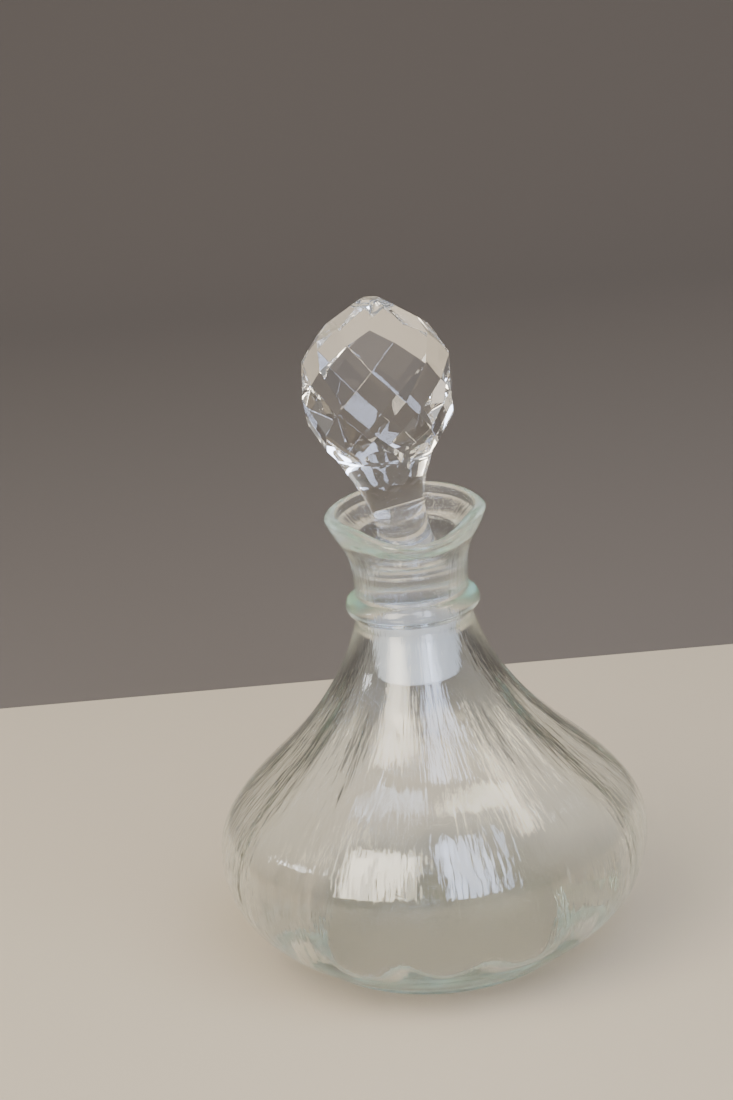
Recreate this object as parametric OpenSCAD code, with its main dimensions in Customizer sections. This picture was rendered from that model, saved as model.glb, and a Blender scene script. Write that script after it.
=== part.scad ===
// Squat glass decanter with a pour lip, a neck bead and a cut-glass stopper.
// The bottle is one piece of blown glass.  The stopper sits in a ground taper,
// lifts straight out and turns freely on the taper's axis.
// The frame's origin is the middle of the base, and +Z is up.

/* [Bottle] */
// Largest radius of the belly
belly_r = 77; // [74:0.5:80]
// Height of the widest ring of the belly
belly_z = 40; // [38:0.5:42]
// Radius of the foot where the belly curve starts
foot_r = 47.5; // [45:0.5:49]
// Inner radius of the flat ring that the bottle stands on
foot_ring_r = 34; // [28:0.5:38]
// Height of the shallow hollow under the base
push_up = 1.6; // [0.8:0.1:3]
// Thickness of the glass at the middle of the base
base_t = 8; // [6:0.5:10]
// Thickness of the wall at the belly
wall_t = 3.4; // [3:0.1:4]

/* [Neck] */
// Outer radius of the neck at the bead
neck_r = 20.5; // [20:0.1:21]
// Height of the bead round the neck
bead_z = 131; // [130:0.5:132]
// Radius of the bead's round section
bead_t = 3.9; // [3.6:0.1:4.4]
// Outer radius of the bead
bead_r = 23.7; // [23.4:0.1:24.2]

/* [Mouth] */
// Height of the rim at the two sides
rim_z = 165; // [163:0.5:167]
// Radius of the rim at the back and the sides
rim_r = 27.5; // [26.5:0.5:28.5]
// How far the pour lip is drawn out past the rim
lip_out = 5; // [2:0.5:6]
// How far the pour lip dips below the rim
lip_dip = 5; // [1:0.5:5.5]
// Direction of the pour lip, as an angle from +X
lip_dir = -84; // [-180:1:180]
// Thickness of the rolled rim
rim_t = 4.6; // [4:0.1:5]

/* [Ground joint] */
// Radius at the top of the ground bore
bore_r = 17; // [16.8:0.05:17.2]
// Height of the top of the ground bore
bore_top = 157; // [156:0.5:158]
// Height of the bottom of the ground bore
bore_bottom = 118; // [116:0.5:120]
// Taper of the joint, as radius lost for each millimetre of depth
taper = 0.05; // [0.04:0.005:0.05]
// Gap between plug and bore, measured along the radius
joint_gap = 0.06; // [0.03:0.01:0.1]

/* [Stopper] */
// Height of the plug's lower end
plug_bottom = 103.5; // [99:0.5:106]
// Height of the plug's shoulder, where the stem begins
plug_top = 145; // [143:0.5:147]
// Radius of the stem at its waist
stem_r = 9.3; // [8:0.1:9.8]
// Height of the stem's waist
stem_z = 159; // [157:0.5:163]
// Radius of the ball to the corners at its widest
ball_r = 27.4; // [26:0.1:28]
// Height of the middle of the ball
ball_z = 208.5; // [207:0.5:210]
// Height of the ball's upper half over its radius
ball_stretch = 1.06; // [1:0.01:1.1]
// Distance of the ball's middle from the joint's axis
finial_lean = 5.5; // [0:0.5:6]
// Direction in which the finial leans, as an angle from +X
lean_dir = 180; // [0:5:355]
// Turn of the cut facets about the ball's axis
facet_turn = -93; // [-180:1:180]

/* [Hidden] */

$fn = 96;
curve_steps = 14;
glass_tint = [0.86, 0.93, 0.89, 0.45];
clear_tint = [0.93, 0.94, 0.96, 0.5];
frost_tint = [0.88, 0.9, 0.93, 0.8];

// One point of a cubic curve through four control points, at t from 0 to 1
function curve_point(c, t) =
    pow(1 - t, 3) * c[0] + 3 * pow(1 - t, 2) * t * c[1]
    + 3 * (1 - t) * t * t * c[2] + t * t * t * c[3];

// The points of a cubic curve, leaving out the last one
function curve(c) = [for (i = [0:curve_steps - 1]) curve_point(c, i / curve_steps)];

// Bottle outline: three curves that run into one another, from foot to neck
shoulder = [58, 72];
foot_round = 1.5;
neck_start = [neck_r, bead_z - bead_t / 2];
outer_low = [[foot_r, foot_round], [61, 9], [belly_r, belly_z / 2], [belly_r, belly_z]];
outer_mid = [[belly_r, belly_z], [belly_r, belly_z + 15], [69, 62], shoulder];
outer_top = [shoulder, [47, 82], [27, 100], neck_start];

// Inside of the bottle, as far inside the outline as the glass is thick there
inner_r = belly_r - wall_t;
inner_shoulder = shoulder - [2.2, 2.4];
floor_z = push_up + base_t;
floor_r = 43;
floor_edge_z = floor_z - 1;
throat_r = bore_r - taper * (bore_top - bore_bottom) - 0.3;
inner_low = [[floor_r, floor_edge_z], [59.5, 10], [inner_r, 23], [inner_r, belly_z]];
inner_mid = [[inner_r, belly_z], [inner_r, 53.5], [66.5, 59.9], inner_shoulder];
inner_top = [inner_shoulder, [44.5, 79.8], [21.5, 98], [throat_r, bore_bottom + 6]];

// Neck above the bead, up to where the mouth begins
mouth_z = 148;
neck_top_r = neck_r + 0.6;

function bore_r_at(z) = bore_r - taper * (bore_top - z);

// The pour lip: 1 in its own direction, a slight pinch on each side of it, then 0
lip_half_width = 110;
function turn_from_lip(a) = min(lip_half_width, abs((a - lip_dir + 540) % 360 - 180));
function lip_share(a) = let (c = cos(180 * turn_from_lip(a) / lip_half_width)) c * (1 + c) / 2;

// The mouth's wall: outline points [radius, height] before the lip is drawn out
mouth_turns = 72;
mouth_section = [
    [bore_r - 1.5, mouth_z - 1], [neck_top_r - 1.2, mouth_z - 1], [neck_top_r - 0.6, mouth_z + 1.5],
    [neck_top_r + 0.5, mouth_z + 3], [neck_top_r + 1.8, mouth_z + 6], [rim_r - 2.6, mouth_z + 9],
    [rim_r - 0.4, rim_z - 5], [rim_r, rim_z - 2.4], [rim_r - 0.9, rim_z - 0.5],
    [rim_r - rim_t / 2, rim_z], [rim_r - rim_t + 0.6, rim_z - 0.8],
    [rim_r - rim_t - 1.2, rim_z - 3.4], [bore_r + 3, bore_top + 1.2],
    [bore_r + 1.6, bore_top], [bore_r - 1.5, bore_top]
];

// How much of the lip's draw reaches a height, from 0 at the bore's top to 1 at the rim
function lip_reach(z) = pow(max(0, min(1, (z - bore_top) / (rim_z - bore_top))), 1.3);
function mouth_point(p, a) =
    let (s = lip_share(a) * lip_reach(p[1]), r = p[0] + lip_out * s)
    [r * cos(a), r * sin(a), p[1] - lip_dip * s];

// Facets of the ball.  Each ring of corners is half a facet round from the ring
// below it.  A corner lies where the flat facet through the two rings below it
// meets the ball, so every cut facet is a true flat four-sided face.
facets = 8;
half_step = 180 / facets;
shrink = cos(half_step);
apex_h = 1.14;

// The next corner up a facet whose lower corner is p and whose side corners are q
function next_corner(p, q) =
    let (side = [q[0] * shrink, q[1]], d = side - p, t = -2 * (p * d) / (d * d))
    p + t * d;

// The corner where a facet through p and q meets the flatter facets of the crown
function crown_corner(p, q, crown) =
    let (side = [q[0] * shrink, q[1]],
         fall = (p[1] - side[1]) / (p[0] - side[0]),
         crown_fall = (crown[1] - apex_h) / crown[0] * shrink,
         r = (apex_h - p[1] + fall * p[0]) / (fall - crown_fall))
    [r, apex_h + crown_fall * r];

corner_0 = [1, 0];
corner_1 = [shrink, sin(half_step)];
corner_2 = next_corner(corner_0, corner_1);
corner_3 = crown_corner(corner_1, corner_2, corner_2);
ball_low = [[corner_2[0], -corner_2[1]], [corner_1[0], -corner_1[1]]];
ball_rings = concat(ball_low, [corner_0, corner_1, corner_2, corner_3]);

// Place of corner j of ring i in the ball's list of points, and of the corner half a
// facet before (side 0) or after it (side 1) in the ring above
function corner(i, j) = i * facets + (j + facets) % facets;
function beside(i, j, side) = corner(i + 1, j + side - i % 2);

// The stem's radius and lean, from the plug's shoulder up to the ball
stem_rise = ball_z - ball_r * ball_stretch * corner_2[1] + 1 - plug_top;
stem_sides = 48;
stem_steps = 20;
stem_foot_r = bore_r_at(plug_top) - 1.6;
function from_waist(z) = (z - stem_z) / (z < stem_z ? stem_z - plug_top : plug_top + stem_rise - stem_z);
function stem_radius(z) =
    z < stem_z ? stem_r + (stem_foot_r - stem_r) * pow(-from_waist(z), 2.4)
               : stem_r + (ball_r * corner_2[0] * shrink - 0.6 - stem_r) * pow(from_waist(z), 1.4);
function lean_at(z) =
    let (u = max(0, min(1, (z - plug_top) / stem_rise))) finial_lean * (3 - 2 * u) * u * u;

// Faces of a skin over rings of n points each; closed joins the last ring to the first
function skin(rings, n, closed = false) = [
    for (i = [0:rings - (closed ? 1 : 2)]) for (j = [0:n - 1])
        let (low = i * n, high = ((i + 1) % rings) * n, k = (j + 1) % n)
        [high + j, high + k, low + k, low + j]
];

module decanter_body() {
    color(glass_tint) difference() {
        union() {
            bottle_glass();
            neck_bead();
            pour_mouth();
        }
        bottle_hollow();
        ground_bore();
    }
}

// Solid form of the bottle up to the foot of the mouth
module bottle_glass() {
    rotate_extrude() polygon(concat(
        [[0, push_up], [foot_ring_r - 6, push_up], [foot_ring_r, 0], [foot_r - foot_round, 0]],
        curve(outer_low), curve(outer_mid), curve(outer_top),
        [neck_start, [neck_r, bead_z], [neck_top_r, mouth_z + 1], [0, mouth_z + 1]]
    ));
}

// Round bead moulded on the neck
module neck_bead() {
    rotate_extrude() translate([bead_r - bead_t, bead_z]) circle(r = bead_t, $fn = 32);
}

// Flared mouth with a rolled rim and the pour lip
module pour_mouth() {
    points = [for (p = mouth_section) for (j = [0:mouth_turns - 1]) mouth_point(p, 360 * j / mouth_turns)];
    polyhedron(points, skin(len(mouth_section), mouth_turns, closed = true));
}

// Space that holds the drink
module bottle_hollow() {
    rotate_extrude() polygon(concat(
        [[0, floor_z]], curve(inner_low), curve(inner_mid), curve(inner_top),
        [[throat_r, bore_bottom + 6], [0, bore_bottom + 6]]
    ));
}

// Tapered bore that the stopper is ground into
module ground_bore() {
    low = bore_bottom - 2;
    high = bore_top + 1;
    translate([0, 0, low]) cylinder(h = high - low, r1 = bore_r_at(low), r2 = bore_r_at(high));
}

module stopper_plug() {
    chamfer = 1.2;
    top_r = bore_r_at(plug_top) - joint_gap;
    low_r = bore_r_at(plug_bottom) - joint_gap;
    color(frost_tint) rotate_extrude() polygon([
        [0, plug_bottom], [low_r - chamfer, plug_bottom], [low_r + chamfer * taper, plug_bottom + chamfer],
        [top_r - chamfer * taper, plug_top - chamfer], [top_r - chamfer, plug_top], [0, plug_top]
    ]);
}

module stopper_finial() {
    color(clear_tint) union() {
        finial_stem();
        cut_ball();
    }
}

// Waisted stem that leans from the plug's axis to the middle of the ball
module finial_stem() {
    bottom = plug_top + joint_gap;
    heights = [for (i = [0:stem_steps]) bottom + (stem_rise - joint_gap) * i / stem_steps];
    points = [for (z = heights) for (j = [0:stem_sides - 1]) let (a = 360 * j / stem_sides)
        [stem_radius(z) * cos(a) + lean_at(z) * cos(lean_dir),
         stem_radius(z) * sin(a) + lean_at(z) * sin(lean_dir), z]];
    floor_face = [for (j = [0:stem_sides - 1]) j];
    top_face = [for (j = [stem_sides - 1:-1:0]) stem_steps * stem_sides + j];
    polyhedron(points, concat([floor_face, top_face], skin(stem_steps + 1, stem_sides)));
}

// Ball cut all over with flat facets, and pointed at the top
module cut_ball() {
    rings = len(ball_rings);
    apex = rings * facets;
    points = concat(
        [for (i = [0:rings - 1]) for (j = [0:facets - 1])
            let (a = 2 * half_step * j + half_step * ((i + 1) % 2) + facet_turn, p = ball_rings[i] * ball_r)
            [p[0] * cos(a), p[0] * sin(a), p[1] * ball_stretch]],
        [[0, 0, apex_h * ball_stretch * ball_r]]);
    base = [for (j = [0:facets - 1]) corner(0, j)];
    base_row = [for (j = [0:facets - 1]) [corner(0, j), corner(1, j + 1), corner(0, j + 1)]];
    diamonds = [for (i = [0:rings - 3]) for (j = [0:facets - 1])
        [corner(i, j), beside(i, j, 0), corner(i + 2, j), beside(i, j, 1)]];
    crown = [for (j = [0:facets - 1])
        [corner(rings - 2, j), beside(rings - 2, j, 0), apex, beside(rings - 2, j, 1)]];
    translate([finial_lean * cos(lean_dir), finial_lean * sin(lean_dir), ball_z])
        polyhedron(points, concat([base], base_row, diamonds, crown));
}

decanter_body();
stopper_plug();
stopper_finial();
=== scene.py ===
"""Looks of a blown-glass decanter with a cut-glass stopper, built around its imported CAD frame.

Bottle and stopper are each turned from an outline, as a glassblower and a cutter would
shape them, and finished with ribs, a pour lip, ground joints and flat cut facets.
Outlines are in millimetres; meshes are in metres, in the frame's own axes.
"""

import logging
import math
from collections.abc import Callable
from dataclasses import dataclass, field
from enum import Enum

import bpy
import numpy as np
from mathutils import Matrix, Vector

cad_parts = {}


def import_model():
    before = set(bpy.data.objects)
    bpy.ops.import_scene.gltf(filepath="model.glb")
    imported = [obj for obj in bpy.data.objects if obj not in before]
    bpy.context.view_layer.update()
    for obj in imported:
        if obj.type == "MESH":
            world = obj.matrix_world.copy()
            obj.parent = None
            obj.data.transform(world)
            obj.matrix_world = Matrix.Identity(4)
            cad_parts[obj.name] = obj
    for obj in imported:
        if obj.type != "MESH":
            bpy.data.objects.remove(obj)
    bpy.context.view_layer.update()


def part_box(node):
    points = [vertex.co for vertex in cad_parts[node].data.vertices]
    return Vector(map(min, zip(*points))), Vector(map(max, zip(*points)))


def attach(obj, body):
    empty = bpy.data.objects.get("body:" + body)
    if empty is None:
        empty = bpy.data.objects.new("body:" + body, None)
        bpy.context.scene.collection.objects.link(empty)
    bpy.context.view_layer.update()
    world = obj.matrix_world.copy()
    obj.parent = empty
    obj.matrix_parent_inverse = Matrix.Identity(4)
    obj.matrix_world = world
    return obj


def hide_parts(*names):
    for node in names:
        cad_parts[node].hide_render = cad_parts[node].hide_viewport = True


log = logging.getLogger("decanter")
MM = 0.001
WELD = 0.02  # points closer than this, in millimetres, are one point
FINE = 1e-6  # how near a cut, in metres, a point counts as on it
Point = tuple[float, float]
Rule = Callable[[np.ndarray], None]


def linear(colour: str) -> tuple[float, float, float, float]:
    """Turn an sRGB hex colour into the linear colour that shaders use.

    Args:
        colour: Six hex digits, such as "c8d2cb".

    Returns:
        Linear red, green and blue, and an alpha of 1.
    """
    parts = [int(colour[i : i + 2], 16) / 255 for i in (0, 2, 4)]
    red, green, blue = (c / 12.92 if c <= 0.04045 else ((c + 0.055) / 1.055) ** 2.4 for c in parts)
    return red, green, blue, 1.0


def add_node(
    tree: bpy.types.NodeTree, kind: str, feeds: dict | None = None, **settings: object
) -> bpy.types.Node:
    """Add one node to a material.

    Args:
        tree: The node tree that the node goes in.
        kind: The node's type name.
        feeds: What feeds an input, by the input's name or number: an output socket to
            join to it, or a plain value.
        settings: Values for the node's own settings or for its input sockets, whose
            names are written with underscores for spaces.

    Returns:
        The new node.
    """
    node = tree.nodes.new(kind)
    for name, value in settings.items():
        if hasattr(node, name):
            setattr(node, name, value)
        else:
            node.inputs[name.replace("_", " ")].default_value = value
    for socket, feed in (feeds or {}).items():
        if isinstance(feed, bpy.types.NodeSocket):
            tree.links.new(feed, node.inputs[socket])
        else:
            node.inputs[socket].default_value = feed
    return node


def new_material(name: str) -> tuple[bpy.types.Material, bpy.types.NodeTree]:
    """Make an empty node material.

    Args:
        name: The finish's plain name.

    Returns:
        The material and its empty node tree.
    """
    material = bpy.data.materials.new(name)
    material.use_nodes = True
    material.node_tree.nodes.clear()
    return material, material.node_tree


# ---------------------------------------------------------------- outlines


def curve(controls: list[Point], steps: int) -> list[Point]:
    """Points along a cubic curve, without its last point.

    Args:
        controls: The curve's four control points.
        steps: How many points to give.

    Returns:
        The points, from the first control point on.
    """
    a, b, c, d = (np.array(p, float) for p in controls)
    shares = np.arange(steps) / steps
    return [
        tuple((1 - t) ** 3 * a + 3 * (1 - t) ** 2 * t * b + 3 * (1 - t) * t * t * c + t**3 * d)
        for t in shares
    ]


def arc(middle: Point, radius: float, start: float, end: float, steps: int) -> list[Point]:
    """Points along a round arc, with both its ends.

    Args:
        middle: The arc's centre.
        radius: Its radius.
        start: Angle of the first point, in degrees from the outline's first axis.
        end: Angle of the last point.
        steps: How many stretches to cut the arc into.

    Returns:
        The points.
    """
    angles = np.radians(np.linspace(start, end, steps + 1))
    return [(middle[0] + radius * math.cos(a), middle[1] + radius * math.sin(a)) for a in angles]


def smooth(points: list[Point], steps: int) -> list[Point]:
    """Round a few outline points into a smooth line that passes through each of them.

    Args:
        points: The outline's points.
        steps: How many stretches to cut each gap into.

    Returns:
        The points of the smooth line, without the last one.
    """
    spots = [np.array(p, float) for p in points]
    line: list[Point] = []
    for i in range(len(spots) - 1):
        before, here = spots[max(i - 1, 0)], spots[i]
        there, after = spots[i + 1], spots[min(i + 2, len(spots) - 1)]
        line += curve([here, here + (there - before) / 6, there - (after - here) / 6, there], steps)
    return line


def ramp(values: np.ndarray, start: float, end: float) -> np.ndarray:
    """Rise smoothly from 0 at start to 1 at end.

    Args:
        values: Where to read the rise.
        start: Value at which it is 0.
        end: Value at which it is 1.

    Returns:
        The share at each value.
    """
    share = np.clip((values - start) / (end - start), 0, 1)
    return share * share * (3 - 2 * share)


def lobe(angles: np.ndarray, middle: float, half_width: float) -> np.ndarray:
    """A smooth bump round one direction: 1 at its middle and 0 past its half width.

    Args:
        angles: Directions to read it at, in degrees.
        middle: The bump's direction.
        half_width: How far it reaches each way.

    Returns:
        The bump's height in each direction.
    """
    away = np.abs((angles - middle + 180) % 360 - 180)
    return 1 - ramp(away, 0, half_width)


# ---------------------------------------------------------------- mesh work


def start_edit(piece: bpy.types.Object) -> None:
    """Open one piece alone in edit mode, with nothing selected in it.

    Args:
        piece: The piece to open.
    """
    bpy.ops.object.select_all(action="DESELECT")
    bpy.context.view_layer.objects.active = piece
    piece.select_set(True)
    bpy.ops.object.mode_set(mode="EDIT")
    bpy.ops.mesh.select_all(action="DESELECT")


def end_edit() -> None:
    """Leave edit mode."""
    bpy.ops.object.mode_set(mode="OBJECT")


def drawn_line(name: str, places: list[Vector]) -> bpy.types.Object:
    """Draw a line from place to place, and stay in edit mode with all of it selected.

    Args:
        name: The new piece's name.
        places: The line's points, in metres.

    Returns:
        The new piece.
    """
    bpy.ops.object.select_all(action="DESELECT")
    bpy.ops.mesh.primitive_plane_add(size=MM)
    piece = bpy.context.active_object
    piece.name = piece.data.name = name
    bpy.ops.object.mode_set(mode="EDIT")
    bpy.ops.mesh.select_all(action="SELECT")
    bpy.ops.mesh.merge(type="CENTER")
    bpy.ops.transform.translate(value=places[0])
    for here, there in zip(places, places[1:]):
        bpy.ops.mesh.extrude_region_move(TRANSFORM_OT_translate={"value": there - here})
    bpy.ops.mesh.select_all(action="SELECT")
    return piece


def turned(name: str, outline: list[Point], steps: int) -> bpy.types.Object:
    """Turn an outline about the vertical axis into a closed skin.

    Args:
        name: The new piece's name.
        outline: Points of radius and height in millimetres, that start and end on the axis.
        steps: How many steps make the full turn.

    Returns:
        The turned piece.
    """
    piece = drawn_line(name, [Vector((r * MM, 0.0, z * MM)) for r, z in outline])
    bpy.ops.mesh.spin(steps=steps, angle=math.tau, center=(0, 0, 0), axis=(0, 0, 1))
    bpy.ops.mesh.select_all(action="SELECT")
    bpy.ops.mesh.remove_doubles(threshold=WELD * MM)
    bpy.ops.mesh.normals_make_consistent(inside=False)
    end_edit()
    return piece


def reshape(piece: bpy.types.Object, rule: Rule) -> None:
    """Push the points of a piece about by hand, as a tool does on soft glass.

    Args:
        piece: The piece to shape.
        rule: Changes an array of points, in millimetres, in place.
    """
    points = np.empty(len(piece.data.vertices) * 3, np.float32)
    piece.data.vertices.foreach_get("co", points)
    places = points.reshape(-1, 3).astype(float) / MM
    rule(places)
    piece.data.vertices.foreach_set("co", (places * MM).astype(np.float32).ravel())
    piece.data.update()


def dress(piece: bpy.types.Object, finishes: list[bpy.types.Material]) -> None:
    """Give a piece its materials.

    Args:
        piece: The piece to dress.
        finishes: Its materials, in the order of its slots.
    """
    piece.data.materials.clear()
    for finish in finishes:
        piece.data.materials.append(finish)


def cut_flat(place: Vector, normal: Vector) -> None:
    """Grind one flat facet on the piece in edit mode, and close the cut.

    Args:
        place: A point on the facet, in metres.
        normal: The facet's direction, pointing at the glass to take off.
    """
    bpy.ops.mesh.select_all(action="SELECT")
    bpy.ops.mesh.bisect(plane_co=place, plane_no=normal, use_fill=True, clear_outer=True, threshold=FINE)


# ---------------------------------------------------------------- finishes


@dataclass(frozen=True)
class BlownGlass:
    """Soda-lime glass blown in a mould: clear, faintly green where it is thick.

    The mould's cold skin drew fine upright lines down the outside, and the hollow is
    softly furrowed, so reflections break into ragged streaks. The bore is ground.
    Sizes are in millimetres.
    """

    outer_gap: float = 1.7
    outer_depth: float = 0.16
    inner_gap: float = 5.5
    inner_depth: float = 0.5
    line_length: float = 13.0
    belly_round: float = 480.0
    heel: Point = (16.0, 46.0)
    shoulder: Point = (88.0, 106.0)
    mouth: Point = (128.0, 140.0)
    bore: Point = (122.0, 147.0)
    bore_roughness: float = 0.1
    tint: str = "e6f1eb"
    tint_density: float = 18.0
    ior: float = 1.52
    name: str = "Mould-blown soda-lime glass"

    def lines(
        self, tree: bpy.types.NodeTree, turn: bpy.types.NodeSocket, height: bpy.types.NodeSocket, gap: float
    ) -> bpy.types.NodeSocket:
        """Upright lines in the glass, a set distance apart at the belly.

        Args:
            tree: The material's node tree.
            turn: Direction round the axis, as a share of a turn.
            height: Height above the base, in metres.
            gap: Distance between the lines.

        Returns:
            The lines' height, from 0 to 1.
        """
        across = add_node(
            tree, "ShaderNodeMath", {0: turn, 1: self.belly_round / gap}, operation="MULTIPLY"
        )
        along = add_node(
            tree, "ShaderNodeMath", {0: height, 1: 1 / (self.line_length * MM)}, operation="MULTIPLY"
        )
        spot = add_node(tree, "ShaderNodeCombineXYZ", {"X": across.outputs[0], "Y": along.outputs[0]})
        noise = add_node(tree, "ShaderNodeTexNoise", {"Vector": spot.outputs[0]}, Scale=1.0, Detail=2.0)
        return noise.outputs[0]

    def outer_side(
        self,
        tree: bpy.types.NodeTree,
        place: bpy.types.NodeSocket,
        height: bpy.types.NodeSocket,
        wall: list[Point],
    ) -> bpy.types.NodeSocket:
        """Tell the outside from the inside by the radius halfway through the wall.

        Args:
            tree: The material's node tree.
            place: Place on the bottle.
            height: Height above the base, in metres.
            wall: Radius and height of points halfway through the wall, from low to high.

        Returns:
            1 on the outside, 0 on the inside.
        """
        widest = 100.0
        flat = add_node(tree, "ShaderNodeMapping", {"Vector": place}, Scale=(1, 1, 0))
        radius = add_node(tree, "ShaderNodeVectorMath", {0: flat.outputs[0]}, operation="LENGTH")
        share = add_node(tree, "ShaderNodeMath", {0: height, 1: wall[-1][1] * MM}, operation="DIVIDE")
        middle = add_node(tree, "ShaderNodeValToRGB", {0: share.outputs[0]})
        stops = middle.color_ramp.elements
        for stop, (r, z) in zip([stops[0], stops[1]] + [stops.new(0.5) for _ in wall[2:]], wall):
            stop.position, stop.color = z / wall[-1][1], (r / widest, r / widest, r / widest, 1)
        scaled = add_node(
            tree, "ShaderNodeMath", {0: middle.outputs[0], 1: widest * MM}, operation="MULTIPLY"
        )
        outside = add_node(
            tree,
            "ShaderNodeMath",
            {0: radius.outputs["Value"], 1: scaled.outputs[0]},
            operation="GREATER_THAN",
        )
        return outside.outputs[0]

    def calm(self, tree: bpy.types.NodeTree, height: bpy.types.NodeSocket) -> bpy.types.NodeSocket:
        """Fade the lines at the heel and below the bead, where the glass ran smooth.

        Args:
            tree: The material's node tree.
            height: Height above the base, in metres.

        Returns:
            The lines' strength, from 0 to 1.
        """
        heel, neck, mouth = (
            add_node(
                tree,
                "ShaderNodeMapRange",
                {0: height},
                From_Min=low * MM,
                From_Max=high * MM,
                To_Min=first,
                To_Max=last,
            ).outputs[0]
            for (low, high), first, last in (
                (self.heel, 0.1, 1.0),
                (self.shoulder, 1.0, 0.35),
                (self.mouth, 0.0, 0.8),
            )
        )
        upper = add_node(tree, "ShaderNodeMath", {0: neck, 1: mouth}, operation="MAXIMUM")
        both = add_node(tree, "ShaderNodeMath", {0: heel, 1: upper.outputs[0]}, operation="MULTIPLY")
        return both.outputs[0]

    def bore_grind(
        self, tree: bpy.types.NodeTree, height: bpy.types.NodeSocket, outside: bpy.types.NodeSocket
    ) -> bpy.types.NodeSocket:
        """Make the ground bore silky.

        Args:
            tree: The material's node tree.
            height: Height above the base, in metres.
            outside: 1 on the outside, 0 on the inside.

        Returns:
            The glass's roughness.
        """
        low, high = self.bore
        above = add_node(tree, "ShaderNodeMath", {0: height, 1: low * MM}, operation="GREATER_THAN")
        below = add_node(tree, "ShaderNodeMath", {0: height, 1: high * MM}, operation="LESS_THAN")
        inside = add_node(tree, "ShaderNodeMath", {0: 1.0, 1: outside}, operation="SUBTRACT")
        band = add_node(
            tree, "ShaderNodeMath", {0: above.outputs[0], 1: below.outputs[0]}, operation="MULTIPLY"
        )
        bore = add_node(
            tree, "ShaderNodeMath", {0: band.outputs[0], 1: inside.outputs[0]}, operation="MULTIPLY"
        )
        rough = add_node(
            tree, "ShaderNodeMath", {0: bore.outputs[0], 1: self.bore_roughness}, operation="MULTIPLY"
        )
        return rough.outputs[0]

    def build(self, wall: list[Point]) -> bpy.types.Material:
        """Build the material.

        Args:
            wall: Radius and height of points halfway through the wall, from low to high.

        Returns:
            The finished material.
        """
        material, tree = new_material(self.name)
        place = add_node(tree, "ShaderNodeTexCoord").outputs["Object"]
        turn = add_node(tree, "ShaderNodeTexGradient", {0: place}, gradient_type="RADIAL").outputs["Fac"]
        height = add_node(tree, "ShaderNodeSeparateXYZ", {0: place}).outputs["Z"]
        outside = self.outer_side(tree, place, height, wall)

        # Fine drawn lines outside and wider soft furrows inside break up every reflection.
        relief = add_node(
            tree,
            "ShaderNodeMix",
            {
                0: outside,
                "A": self.lines(tree, turn, height, self.inner_gap),
                "B": self.lines(tree, turn, height, self.outer_gap),
            },
        )
        depth = add_node(
            tree,
            "ShaderNodeMapRange",
            {0: outside},
            To_Min=self.inner_depth * MM,
            To_Max=self.outer_depth * MM,
        )
        bump = add_node(
            tree,
            "ShaderNodeBump",
            {
                "Height": relief.outputs[0],
                "Distance": depth.outputs[0],
                "Strength": self.calm(tree, height),
            },
        )
        glass = add_node(
            tree,
            "ShaderNodeBsdfPrincipled",
            {"Normal": bump.outputs[0], "Roughness": self.bore_grind(tree, height, outside)},
            Base_Color=linear("fdfefd"),
            IOR=self.ior,
            Transmission_Weight=1.0,
        )
        # Thick glass looks faintly green, thin glass clear.
        body = add_node(
            tree, "ShaderNodeVolumeAbsorption", Color=linear(self.tint), Density=self.tint_density
        )
        add_node(
            tree, "ShaderNodeOutputMaterial", {"Surface": glass.outputs[0], "Volume": body.outputs[0]}
        )
        return material


@dataclass(frozen=True)
class CutGlass:
    """Colourless glass, cut and polished: sharp clean facets and a bright sparkle."""

    ior: float = 1.53
    name: str = "Cut and polished glass"

    def build(self) -> bpy.types.Material:
        """Build the material.

        Returns:
            The finished material.
        """
        material, tree = new_material(self.name)
        glass = add_node(
            tree,
            "ShaderNodeBsdfPrincipled",
            Base_Color=linear("ffffff"),
            Roughness=0.0,
            IOR=self.ior,
            Transmission_Weight=1.0,
        )
        add_node(tree, "ShaderNodeOutputMaterial", {"Surface": glass.outputs[0]})
        return material


@dataclass(frozen=True)
class GroundGlass:
    """Glass ground with grit in a turning tool: finely ringed, from silky to white.

    The rings' sizes are in millimetres; ring_turns is how often they change along a metre
    of their run.
    """

    name: str
    roughness: float
    clearness: float
    ring_depth: float
    ring_gap: float = 0.9
    ring_turns: float = 30.0
    ior: float = 1.5
    colour: str = "eff3fb"

    def build(self) -> bpy.types.Material:
        """Build the material.

        Returns:
            The finished material.
        """
        material, tree = new_material(self.name)
        place = add_node(tree, "ShaderNodeTexCoord")
        flat = add_node(
            tree,
            "ShaderNodeMapping",
            {"Vector": place.outputs["Object"]},
            Scale=(self.ring_turns, self.ring_turns, 1 / (self.ring_gap * MM)),
        )
        # Rings left by the grinding tool, drawn out along the turn.
        rings = add_node(tree, "ShaderNodeTexNoise", {"Vector": flat.outputs[0]}, Scale=1.0, Detail=3.0)
        bump = add_node(
            tree, "ShaderNodeBump", {"Height": rings.outputs[0]}, Strength=1.0, Distance=self.ring_depth * MM
        )
        glass = add_node(
            tree,
            "ShaderNodeBsdfPrincipled",
            {"Normal": bump.outputs[0]},
            Base_Color=linear(self.colour),
            Roughness=self.roughness,
            IOR=self.ior,
            Transmission_Weight=self.clearness,
        )
        add_node(tree, "ShaderNodeOutputMaterial", {"Surface": glass.outputs[0]})
        return material


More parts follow.
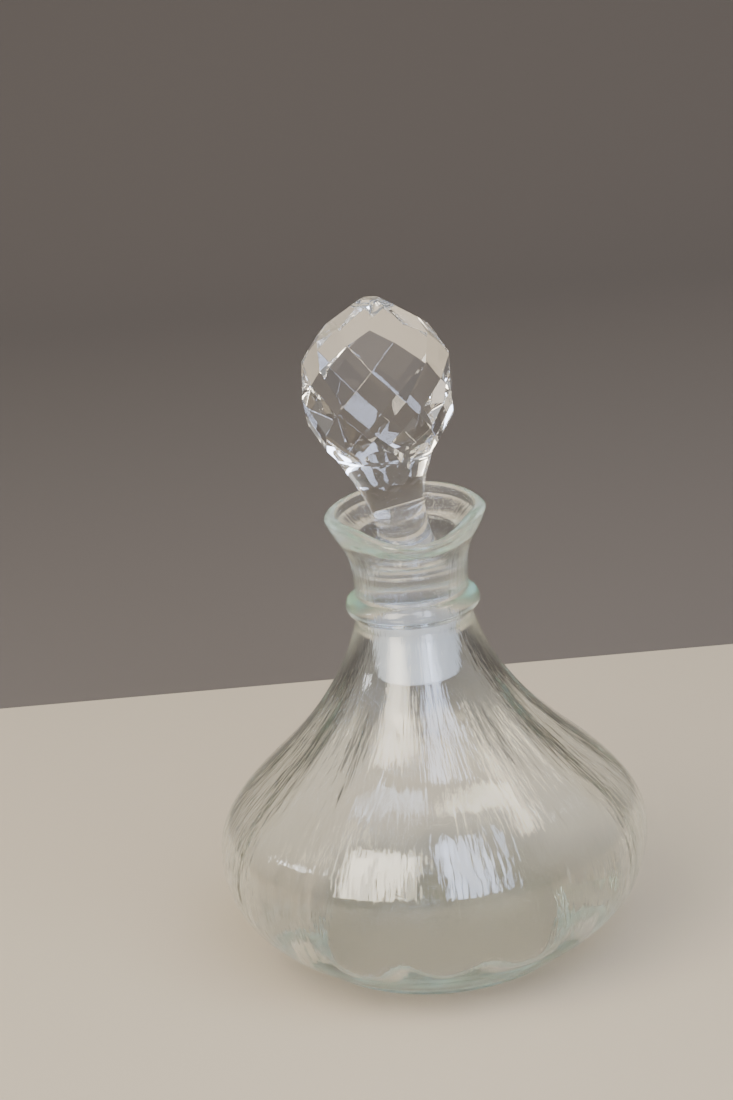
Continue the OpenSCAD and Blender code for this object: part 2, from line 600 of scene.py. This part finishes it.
@dataclass(frozen=True)
class StudioPaper:
    """Matt studio paper: an even, soft ground with no gloss."""

    colour: str
    name: str = "Matt studio paper"

    def build(self) -> bpy.types.Material:
        """Build the material.

        Returns:
            The finished material.
        """
        material, tree = new_material(self.name)
        paper = add_node(
            tree, "ShaderNodeBsdfPrincipled", Base_Color=linear(self.colour), Roughness=0.9
        )
        add_node(tree, "ShaderNodeOutputMaterial", {"Surface": paper.outputs[0]})
        return material


# ---------------------------------------------------------------- the bottle


@dataclass
class Bottle:
    """The blown bottle: foot, ribbed belly, neck with its bead, and the pouring mouth.

    Every size is in millimetres. The belly's radius comes from the CAD frame.
    """

    belly_r: float
    belly_z: float = 40.0
    foot_r: float = 47.5
    push_up: float = 1.6
    floor_z: float = 9.6
    wall: float = 3.4
    neck_r: float = 20.5
    bead_z: float = 131.0
    bead_t: float = 3.9
    bead_r: float = 23.7
    rim_r: float = 27.7
    rim_z: float = 165.0
    bore_r: float = 17.0
    bore_top: float = 157.0
    bore_bottom: float = 118.0
    taper: float = 0.05
    shoulder: Point = (58.0, 72.0)
    inner_shoulder: Point = (55.8, 69.6)
    rim_round: float = 2.2
    ribs: int = 12
    inner_rib: float = 0.65
    heel_rib: float = 1.3
    outer_rib: float = 0.26
    lip_dir: float = -82.0
    lip_reach: float = 3.6
    lip_fall: float = 3.6
    lip_half: float = 62.0
    back_rise: float = 2.2
    seam_half: float = 0.35
    seam_low: float = 0.05
    seam_rise: float = 0.12
    turn_steps: int = 216

    def bore_at(self, z: float) -> float:
        """Radius of the ground bore at a height."""
        return self.bore_r - self.taper * (self.bore_top - z)

    def outside(self) -> list[Point]:
        """Outline of the outer wall, from the middle of the base up to the rim.

        Returns:
            The outline's points.
        """
        neck_foot = (self.neck_r, self.bead_z - self.bead_t - 0.6)
        foot = [(0.0, self.push_up)]
        foot += curve([(6.0, self.push_up), (20.0, self.push_up), (28.0, 0.0), (38.0, 0.0)], 12)
        foot += [(38.0, 0.0), (41.0, 0.0)]
        foot += curve([(43.0, 0.0), (45.6, 0.0), (47.2, 0.6), (self.foot_r + 0.8, 2.4)], 9)
        widest = (self.belly_r, self.belly_z)
        low = [(self.foot_r + 0.8, 2.4), (60.5, 10.2), (self.belly_r, self.belly_z / 2), widest]
        mid = [widest, (self.belly_r, self.belly_z + 15), (69.0, 62.0), self.shoulder]
        top = [self.shoulder, (47.0, 82.0), (27.0, 100.0), neck_foot]
        bead = arc((self.bead_r - self.bead_t, self.bead_z), self.bead_t, -68, 68, 14)
        neck = [(self.neck_r - 0.5, self.bead_z + self.bead_t + 0.3), (20.2, 141.0), (20.8, 146.5)]
        neck += [(21.9, 150.5), (23.8, 154.5), (26.0, 158.5), (27.3, 161.7)]
        rim_middle = (self.rim_r - self.rim_round, self.rim_z - self.rim_round)
        rim = arc(rim_middle, self.rim_round, 0, 170, 12)
        return (
            foot
            + curve(low, 26)
            + curve(mid, 26)
            + curve(top, 34)
            + [neck_foot]
            + bead
            + smooth(neck + [rim[0]], 5)
            + rim
        )

    def inside(self) -> list[Point]:
        """Outline of the hollow, from the rim down to the middle of the floor.

        Returns:
            The outline's points.
        """
        inner_r = self.belly_r - self.wall
        throat_z = self.bore_bottom + 3.5
        throat = (self.bore_at(throat_z), throat_z)
        funnel = [(self.rim_r - 4.6, self.rim_z - 2.9), (21.7, 161.0), (19.6, 158.6), (18.0, 157.3)]
        funnel = smooth(funnel + [(self.bore_r, self.bore_top - 0.4)], 4)
        bore = [(self.bore_at(z), z) for z in np.linspace(self.bore_top - 0.4, throat_z + 1.0, 24)]
        top = [throat, (21.5, 98.0), (44.5, 79.8), self.inner_shoulder]
        mid = [self.inner_shoulder, (66.5, 59.9), (inner_r, 53.5), (inner_r, self.belly_z)]
        low = [(inner_r, self.belly_z), (inner_r, 23.0), (60.5, 10.2), (44.0, self.floor_z - 1.2)]
        floor = [(44.0, self.floor_z - 1.2), (36.0, self.floor_z - 0.9), (24.0, self.floor_z - 0.3)]
        floor += [(12.0, self.floor_z), (0.0, self.floor_z)]
        return funnel + bore + curve(top, 34) + curve(mid, 26) + curve(low, 26) + floor

    def rib_depth(self, z: np.ndarray, inner: np.ndarray) -> np.ndarray:
        """Depth of the ribs at each height.

        Args:
            z: Heights in millimetres.
            inner: True where a point is on the inner wall.

        Returns:
            Half the difference between crest and valley.
        """
        body = ramp(z, 12, 34) * (1 - ramp(z, 86, 108))
        heel = ramp(z, 7.5, 11) * (1 - ramp(z, 14, 34))
        return np.where(inner, self.inner_rib * body + self.heel_rib * heel, self.outer_rib * body)

    def shape_ribs(self, places: np.ndarray) -> None:
        """Press the ribs into both walls.

        Args:
            places: The bottle's points, in millimetres.
        """
        x, y, z = places.T
        radius = np.hypot(x, y)
        angle = np.degrees(np.arctan2(y, x))
        outer_at = np.array(self.outside())
        body = outer_at[(outer_at[:, 1] > 2) & (outer_at[:, 1] < self.bead_z - self.bead_t)]
        wall_r = np.interp(z, body[:, 1], body[:, 0])
        inner = radius < wall_r - 1.6
        uneven = 7 * np.sin(np.radians(2 * angle + 40)) + 4 * np.sin(np.radians(5 * angle + 110))
        wave = np.cos(np.radians(self.ribs * angle + uneven))
        depth = self.rib_depth(z, inner) * (1 + 0.3 * np.sin(np.radians(3 * angle + 70)))
        # The ribs run out towards the middle of the base and the neck.
        share = np.clip((radius - 20) / 12, 0, 1)
        scale = 1 + depth * wave * share / np.maximum(radius, 1)
        places[:, 0] *= scale
        places[:, 1] *= scale

    def shape_lip(self, places: np.ndarray) -> None:
        """Draw the pour lip out and down while the rim is soft, and pinch beside it.

        Args:
            places: The bottle's points, in millimetres.
        """
        x, y, z = places.T
        radius = np.hypot(x, y)
        angle = np.degrees(np.arctan2(y, x))
        reach = ramp(z, 150, self.rim_z + 1.5)
        spout = lobe(angle, self.lip_dir, self.lip_half)
        pinch = lobe(angle, self.lip_dir - 52, 46) + 0.6 * lobe(angle, self.lip_dir + 50, 46)
        corner = lobe(angle, -2, 30) + 0.8 * lobe(angle, 178, 34)
        push = reach * (self.lip_reach * spout - 1.5 * pinch + 0.9 * corner)
        scale = 1 + push / np.maximum(radius, 1)
        places[:, 0] *= scale
        places[:, 1] *= scale
        tilt = np.sin(np.radians(angle))
        places[:, 2] += reach * (self.back_rise * tilt - self.lip_fall * spout)

    def raise_seam(self, piece: bpy.types.Object) -> None:
        """Raise the fine line that the mould's two halves leave down each side.

        Args:
            piece: The bottle.
        """
        side_on = math.radians(self.lip_dir + 90)
        across = Vector((math.cos(side_on), math.sin(side_on), 0))
        start_edit(piece)
        for offset in (-self.seam_half, 0.0, self.seam_half):
            bpy.ops.mesh.select_all(action="SELECT")
            bpy.ops.mesh.bisect(plane_co=across * offset * MM, plane_no=across, threshold=FINE)
        end_edit()
        normals = np.empty(len(piece.data.vertices) * 3, np.float32)
        piece.data.vertices.foreach_get("normal", normals)
        normals = normals.reshape(-1, 3)

        def lift(places: np.ndarray) -> None:
            """Lift the points on the seam along the outer wall's normals.

            Args:
                places: The bottle's points, in millimetres.
            """
            side = places @ np.array(across)
            outward = (normals[:, :2] * places[:, :2]).sum(1) > 0
            on_wall = (places[:, 2] > 3) & (places[:, 2] < self.rim_z - 3) & outward
            chosen = on_wall & (np.abs(side) < 0.05)
            height = self.seam_low + self.seam_rise * ramp(places[chosen, 2], 95, 125)
            places[chosen] += height[:, None] * normals[chosen]

        reshape(piece, lift)

    def wall_middle(self) -> list[Point]:
        """Radius halfway through the wall at some heights, from the heel to the rim.

        Returns:
            Points of radius and height.
        """
        walls = [np.array(sorted(line, key=lambda p: p[1])) for line in (self.outside(), self.inside())]
        heights = [2, 9, 11, 14, 19, 25, 32, 40, 50, 60, 68]
        heights += [76, 84, 92, 100, 108, 116, 124, 134, 150, 158, 166]
        return [(sum(np.interp(z, line[:, 1], line[:, 0]) for line in walls) / 2, z) for z in heights]

    def build(self, finish: BlownGlass) -> bpy.types.Object:
        """Build and dress the bottle.

        Args:
            finish: The blown glass it is made of.

        Returns:
            The bottle.
        """
        piece = turned("blown_bottle", self.outside() + self.inside(), self.turn_steps)
        reshape(piece, self.shape_ribs)
        reshape(piece, self.shape_lip)
        self.raise_seam(piece)
        dress(piece, [finish.build(self.wall_middle())])
        start_edit(piece)
        bpy.ops.mesh.select_all(action="SELECT")
        bpy.ops.mesh.faces_shade_smooth()
        end_edit()
        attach(piece, "decanter")
        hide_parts("decanter_body")
        return piece


# ---------------------------------------------------------------- the stopper


@dataclass
class Stopper:
    """The stopper: a ground plug, a waisted stem and a ball cut with flat facets.

    Every size is in millimetres. The plug's ends and the ball's offset come from the CAD
    frame.
    """

    plug_bottom: float
    plug_top: float
    offset: tuple[float, float]
    bore_r: float = 17.0
    bore_top: float = 157.0
    taper: float = 0.05
    gap: float = 0.06
    plug_round: float = 1.6
    waist_r: float = 9.3
    waist_z: float = 159.0
    ball_r: float = 27.4
    ball_z: float = 208.5
    stretch: float = 1.06
    facets: int = 8
    facet_turn: float = -93.0
    crown_h: float = 1.15
    table: float = 2.2
    edge: float = 0.08
    edge_angle: float = 6.0
    frost_top: float = 127.0
    turn_steps: int = 96

    def plug_at(self, z: float) -> float:
        """Radius of the plug at a height."""
        return self.bore_r - self.taper * (self.bore_top - z) - self.gap

    def shank(self) -> list[Point]:
        """Outline of the plug and stem, from the plug's end up to inside the ball.

        Returns:
            The outline's points.
        """
        low, high, round_r = self.plug_bottom, self.plug_top, self.plug_round
        plug = [(0.0, low), (6.0, low), (self.plug_at(low) - round_r, low)]
        plug += arc((self.plug_at(low) - round_r, low + round_r), round_r, -75, 0, 5)
        plug += [(self.plug_at(z), z) for z in np.linspace(low + round_r + 1, high - round_r, 24)]
        stem = [(self.plug_at(high) - 0.7, high - 0.3), (14.2, high + 1.3), (11.4, high + 5.0)]
        stem += [(9.9, high + 9.0), (self.waist_r, self.waist_z), (9.7, 165.4), (10.9, 170.6)]
        stem += [(12.7, 175.8), (15.0, 180.7), (17.2, 185.4), (19.4, 189.0), (20.9, 192.6)]
        return plug + smooth(stem + [(21.2, 196.5), (18.0, 201.0)], 5) + [(9.0, 203.0), (0.0, 203.0)]

    def corner(self, below: np.ndarray, side: np.ndarray) -> np.ndarray:
        """Next corner up a facet, where its flat face meets the ball again.

        Args:
            below: Radius and height of the facet's lower corner, in ball radii.
            side: The same for its side corners.

        Returns:
            The same for its upper corner.
        """
        middle = np.array([side[0] * math.cos(math.pi / self.facets), side[1]])
        way = middle - below
        return below - 2 * below.dot(way) / way.dot(way) * way

    def facet_rows(self) -> list[tuple[np.ndarray, np.ndarray, bool]]:
        """The rows of facets, each as two points of its face in the ball's half section.

        Returns:
            For each row two points of radius and height, in ball radii, and whether its
            faces stand half a step round from the first row's.
        """
        half = math.pi / self.facets
        shrink = math.cos(half)
        equator = np.array([1.0, 0.0])
        upper = np.array([shrink, math.sin(half)])
        high = self.corner(equator, upper)
        flip = np.array([1.0, -1.0])

        def middle(corner: np.ndarray) -> np.ndarray:
            """Middle of the line between two neighbouring corners of a ring."""
            return np.array([corner[0] * shrink, corner[1]])

        return [
            (upper * flip, upper, False),
            (equator, middle(upper), True),
            (upper, middle(high), False),
            (high, np.array([0.0, self.crown_h]), True),
            (equator, middle(upper) * flip, True),
            (upper * flip, middle(high) * flip, False),
        ]

    def cut_ball(self) -> bpy.types.Object:
        """Cut the ball's facets from a round blank one by one, row after row.

        Returns:
            The cut ball.
        """
        bpy.ops.object.select_all(action="DESELECT")
        bpy.ops.mesh.primitive_ico_sphere_add(
            subdivisions=2, radius=self.ball_r * 1.3 * MM, location=(0, 0, self.ball_z * MM)
        )
        ball = bpy.context.active_object
        bpy.ops.object.transform_apply(location=True, rotation=False, scale=False)
        start_edit(ball)
        scale = np.array([self.ball_r, self.ball_r * self.stretch])
        for first, second, shifted in self.facet_rows():
            a, b = first * scale, second * scale
            way = b - a
            out = np.array([way[1], -way[0]])
            if out.dot(a) < 0:
                out = -out
            for i in range(self.facets):
                turn = math.radians(self.facet_turn + 360 / self.facets * (i + 0.5 * shifted))
                aim = Vector((math.cos(turn), math.sin(turn), 0))
                place = aim * a[0] + Vector((0, 0, self.ball_z + a[1]))
                normal = (aim * out[0] + Vector((0, 0, out[1]))).normalized()
                cut_flat(place * MM, normal)
        table_z = self.ball_z + self.crown_h * scale[1] - self.table
        cut_flat(Vector((0, 0, table_z)) * MM, Vector((0, 0, 1)))
        end_edit()
        edges = ball.modifiers.new("polished edges", "BEVEL")
        edges.width, edges.segments, edges.limit_method = self.edge * MM, 1, "ANGLE"
        edges.angle_limit = math.radians(self.edge_angle)
        bpy.ops.object.modifier_apply(modifier=edges.name)
        return ball

    def lean(self, places: np.ndarray) -> None:
        """Lean the stem over, so that the ball stands off the plug's axis.

        Args:
            places: The stopper's points, in millimetres.
        """
        share = ramp(places[:, 2], self.plug_top, self.ball_z - 18.5)
        places[:, 0] += share * self.offset[0]
        places[:, 1] += share * self.offset[1]

    def grind_plug(self, piece: bpy.types.Object) -> None:
        """Mark the plug's frosted lower band and the silky, fitted band above it.

        Args:
            piece: The stopper.
        """
        for face in piece.data.polygons:
            middle = face.center / MM
            if middle.z < self.frost_top:
                face.material_index = 1
            elif middle.z < self.plug_top - 1:
                face.material_index = 2

    def build(
        self, clear: bpy.types.Material, frosted: bpy.types.Material, silky: bpy.types.Material
    ) -> bpy.types.Object:
        """Build and dress the stopper.

        Args:
            clear: Finish of the cut glass.
            frosted: Finish of the plug's free end.
            silky: Finish of the plug's fitted band.

        Returns:
            The stopper.
        """
        ball = self.cut_ball()
        piece = turned("cut_stopper", self.shank(), self.turn_steps)
        join = piece.modifiers.new("ball and stem", "BOOLEAN")
        join.operation, join.solver, join.object = "UNION", "EXACT", ball
        bpy.ops.object.modifier_apply(modifier=join.name)
        bpy.data.objects.remove(ball)
        reshape(piece, self.lean)
        dress(piece, [clear, frosted, silky])
        self.grind_plug(piece)
        bpy.ops.object.shade_smooth_by_angle(angle=math.radians(9))
        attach(piece, "finial")
        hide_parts("stopper_plug", "stopper_finial")
        return piece


# ---------------------------------------------------------------- the studio


class Purpose(Enum):
    """What a light panel is for: to light the paper, or to glint in the glass."""

    LIGHT = "light"
    GLINT = "glint"


@dataclass(frozen=True)
class Panel:
    """One soft light panel.

    Angles are in degrees from +X and up from the floor, sizes in metres, and the
    brightness of its face in watts per square metre and steradian.
    """

    name: str
    purpose: Purpose
    azimuth: float
    elevation: float
    size: Point
    radiance: float
    colour: str


@dataclass
class Studio:
    """Pale floor, plain backdrop, soft light panels and the camera.

    Sizes are in metres. The backdrop lies flat from the floor's back edge on, and sweeps up
    far behind, so that it never stands before a view from the back.
    """

    floor_colour: str = "c9bca6"
    floor_width: float = 3.0
    floor_front: float = -1.6
    floor_back: float = 0.29
    paper_z: float = -0.0003
    backdrop_colour: str = "665f5a"
    backdrop_width: float = 7.0
    backdrop_top: float = 2.6
    sweep_start: float = 1.2
    sweep_r: float = 0.7
    room_colour: str = "f4f4f3"
    wall_glow: float = 0.38
    ceiling_glow: float = 1.0
    light_turns: int = 32
    panel_distance: float = 1.5
    panel_aim: Vector = field(default_factory=lambda: Vector((0.0, 0.0, 0.07)))
    lens: float = 50.0
    sensor: float = 22.3
    eye: Vector = field(default_factory=lambda: Vector((0.0, -0.827, 0.401)))
    aim: Vector = field(default_factory=lambda: Vector((-0.01455, 0.0, 0.1507)))
    roll: float = -5.4
    panels: tuple[Panel, ...] = (
        Panel("left key", Purpose.LIGHT, -135, 45, (1.2, 1.2), 5.0, "fff1dc"),
        Panel("right fill", Purpose.LIGHT, -55, 45, (1.2, 1.2), 3.2, "eaf0ff"),
        Panel("warm window", Purpose.GLINT, -128, 33, (0.6, 1.4), 20.0, "fff3dc"),
        Panel("cool window", Purpose.GLINT, -70, 36, (0.48, 1.7), 18.0, "d5e1ff"),
        Panel("side window", Purpose.GLINT, -8, 52, (0.4, 0.25), 8.0, "fff1d6"),
        Panel("far window", Purpose.GLINT, -176, 22, (0.16, 0.1), 30.0, "ffffff"),
    )

    def sheet(self, name: str, width: float, run: list[Point], colour: str) -> None:
        """Roll out one sheet of studio paper from front to back.

        Args:
            name: The sheet's name.
            width: Its width.
            run: Depth and height of points along it, from its front edge on.
            colour: Its sRGB hex colour.
        """
        sheet = drawn_line(name, [Vector((-width / 2, y, z)) for y, z in run])
        bpy.ops.mesh.extrude_region_move(TRANSFORM_OT_translate={"value": Vector((width, 0, 0))})
        bpy.ops.mesh.select_all(action="SELECT")
        bpy.ops.mesh.faces_shade_smooth()
        end_edit()
        dress(sheet, [StudioPaper(colour, f"{name} paper").build()])

    def panel(self, panel: Panel) -> None:
        """Set up one soft light panel that faces the decanter.

        A panel that glints is seen in the glass but doesn't light the paper, so that
        the glass can sparkle over evenly lit ground.

        Args:
            panel: Where the panel stands, and its light.
        """
        a, e = math.radians(panel.azimuth), math.radians(panel.elevation)
        way = Vector((math.cos(a) * math.cos(e), math.sin(a) * math.cos(e), math.sin(e)))
        lamp = bpy.data.lights.new(panel.name, "AREA")
        lamp.shape, lamp.size, lamp.size_y = "RECTANGLE", *panel.size
        lamp.energy = panel.radiance * math.pi * panel.size[0] * panel.size[1]
        lamp.color = linear(panel.colour)[:3]
        stand = bpy.data.objects.new(lamp.name, lamp)
        stand.location = self.panel_aim + way * self.panel_distance
        stand.rotation_euler = way.to_track_quat("Z", "Y").to_euler()
        stand.visible_diffuse = panel.purpose is Purpose.LIGHT
        stand.visible_glossy = stand.visible_transmission = panel.purpose is Purpose.GLINT
        bpy.context.collection.objects.link(stand)

    def camera(self) -> None:
        """Place the camera: a little above the decanter, and tipped to its left."""
        lens = bpy.data.cameras.new("camera")
        lens.lens, lens.sensor_width = self.lens, self.sensor
        look = (self.aim - self.eye).to_track_quat("-Z", "Y").to_matrix()
        turn = look @ Matrix.Rotation(math.radians(self.roll), 3, "Z")
        stand = bpy.data.objects.new("camera", lens)
        stand.matrix_world = Matrix.Translation(self.eye) @ turn.to_4x4()
        bpy.context.collection.objects.link(stand)
        bpy.context.scene.camera = stand

    def room(self) -> None:
        """Light the room: dim at eye level and bright overhead."""
        world = bpy.data.worlds.new("room")
        world.use_nodes = True
        tree = world.node_tree
        tree.nodes.clear()
        way = add_node(tree, "ShaderNodeTexCoord")
        up = add_node(tree, "ShaderNodeSeparateXYZ", {0: way.outputs["Generated"]})
        rise = add_node(
            tree,
            "ShaderNodeMapRange",
            {0: up.outputs["Z"]},
            From_Min=0.1,
            From_Max=0.95,
            To_Min=self.wall_glow,
            To_Max=self.ceiling_glow,
        )
        glow = add_node(
            tree, "ShaderNodeBackground", {"Strength": rise.outputs[0]}, Color=linear(self.room_colour)
        )
        add_node(tree, "ShaderNodeOutputWorld", {"Surface": glow.outputs[0]})
        bpy.context.scene.world = world
        # Light turns many times inside thick glass before it comes out.
        paths = bpy.context.scene.cycles
        paths.max_bounces = paths.glossy_bounces = paths.transmission_bounces = self.light_turns

    def build(self) -> None:
        """Set up the whole studio."""
        front, back = (self.floor_front, self.paper_z), (self.floor_back, self.paper_z)
        sweep = arc((self.sweep_start, self.sweep_r), self.sweep_r, -90, 0, 24)
        top = (self.sweep_start + self.sweep_r, self.backdrop_top)
        self.sheet("floor", self.floor_width, [front, back], self.floor_colour)
        self.sheet("backdrop", self.backdrop_width, [back, *sweep, top], self.backdrop_colour)
        for panel in self.panels:
            self.panel(panel)
        self.room()
        self.camera()


def main() -> None:
    """Build the studio, the bottle and the stopper around the frame, and log their face counts."""
    logging.basicConfig(level=logging.INFO, format="%(name)s: %(message)s")
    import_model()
    low, high = (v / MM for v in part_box("decanter_body"))
    plug_low, plug_high = (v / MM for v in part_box("stopper_plug"))
    ball_low, ball_high = (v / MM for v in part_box("stopper_finial"))

    Studio().build()
    log.info("studio: floor, backdrop, panels and camera are up")
    bottle = Bottle(belly_r=(high.x - low.x) / 2).build(BlownGlass())
    log.info("%s: %d faces", bottle.name, len(bottle.data.polygons))
    stopper = Stopper(
        plug_bottom=plug_low.z,
        plug_top=plug_high.z,
        offset=((ball_low.x + ball_high.x) / 2, (ball_low.y + ball_high.y) / 2),
    ).build(
        CutGlass().build(),
        GroundGlass("Frosted ground glass", roughness=0.6, clearness=0.5, ring_depth=0.02).build(),
        GroundGlass("Fitted ground glass", roughness=0.1, clearness=1.0, ring_depth=0.008).build(),
    )
    log.info("%s: %d faces", stopper.name, len(stopper.data.polygons))


if __name__ == "__main__":
    main()
